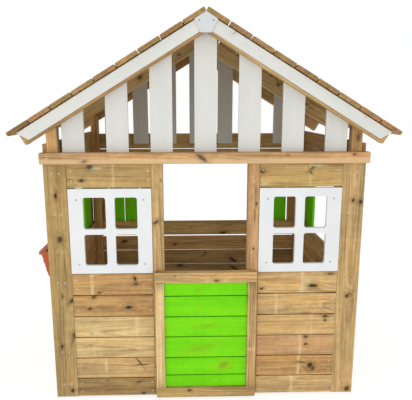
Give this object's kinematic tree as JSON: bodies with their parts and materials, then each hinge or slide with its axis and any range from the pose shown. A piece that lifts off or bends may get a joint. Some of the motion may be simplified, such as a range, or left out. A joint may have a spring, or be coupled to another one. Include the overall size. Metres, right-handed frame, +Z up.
{
  "type": "timber garden playhouse",
  "caption": "Open timber playhouse with a slatted pitched roof, white gable slats and window plates, green panels, a hinged half-door and a lift-off planter.",
  "frame": {"origin": "on the ground under the middle of the roof", "axes": "+Z up, +X to the right seen from the front, the front with the half-door faces -Y"},
  "size_m": [1.56, 1.27, 1.6256],
  "materials": {
    "wood": "planed, pressure-treated softwood",
    "white_wood": "off-white opaque stain",
    "white_plastic": "fine-textured white sheet",
    "green_wood": "bright green opaque stain",
    "terracotta": "moulded, matt",
    "zinc_steel": "zinc-plated"
  },
  "bodies": {
    "house": {"apex_plate_back": "white_plastic", "apex_plate_front": "white_plastic", "back_gable": "white_wood", "back_panel_left": "green_wood", "back_panel_right": "green_wood", "back_rafter_left": "wood", "back_rafter_right": "wood", "back_trim_left": "wood", "back_trim_right": "wood", "back_wall": "wood", "barge_board_back_left": "white_wood", "barge_board_back_right": "white_wood", "barge_board_front_left": "white_wood", "barge_board_front_right": "white_wood", "corner_post_back_left": "wood", "corner_post_back_right": "wood", "corner_post_front_left": "wood", "corner_post_front_right": "wood", "door_post_left": "wood", "door_post_right": "wood", "front_corner_board_left": "wood", "front_corner_board_right": "wood", "front_gable_slat_1": "white_wood", "front_gable_slat_2": "white_wood", "front_gable_slat_3": "white_wood", "front_gable_slat_4": "white_wood", "front_gable_slat_5": "white_wood", "front_gable_slat_6": "white_wood", "front_gable_slat_7": "white_wood", "front_rafter_left": "wood", "front_rafter_right": "wood", "front_top_rail": "wood", "front_wall_left": "wood", "front_wall_right": "wood", "front_window_left": "white_plastic", "front_window_right": "white_plastic", "hinge_lower_pin": "zinc_steel", "hinge_lower_post_leaf": "zinc_steel", "hinge_upper_pin": "zinc_steel", "hinge_upper_post_leaf": "zinc_steel", "planter_hook_1": "zinc_steel", "planter_hook_2": "zinc_steel", "roof_deck_left": "wood", "roof_deck_right": "wood", "side_panel_back_left": "green_wood", "side_panel_back_right": "green_wood", "side_panel_front_left": "green_wood", "side_panel_front_right": "green_wood", "side_trim_left": "wood", "side_trim_right": "wood", "side_wall_left": "wood", "side_wall_right": "wood"},
    "door": {"door_infill": "green_wood", "door_rail_bottom": "wood", "door_rail_top": "wood", "door_stile_left": "wood", "door_stile_right": "wood", "hinge_lower_door_leaf": "zinc_steel", "hinge_upper_door_leaf": "zinc_steel"},
    "planter": {"planter": "terracotta"}
  },
  "joints": [
    {"name": "door_swing", "type": "hinge", "parent": "house", "child": "door", "pos_m": [-0.2203, -0.5858, 0.3], "axis": [0, 0, -1], "range_deg": [0, 100]},
    {"name": "planter_lift", "type": "slide", "parent": "house", "child": "planter", "axis": [0, 0, 1], "range_m": [0, 0.15]}
  ]
}
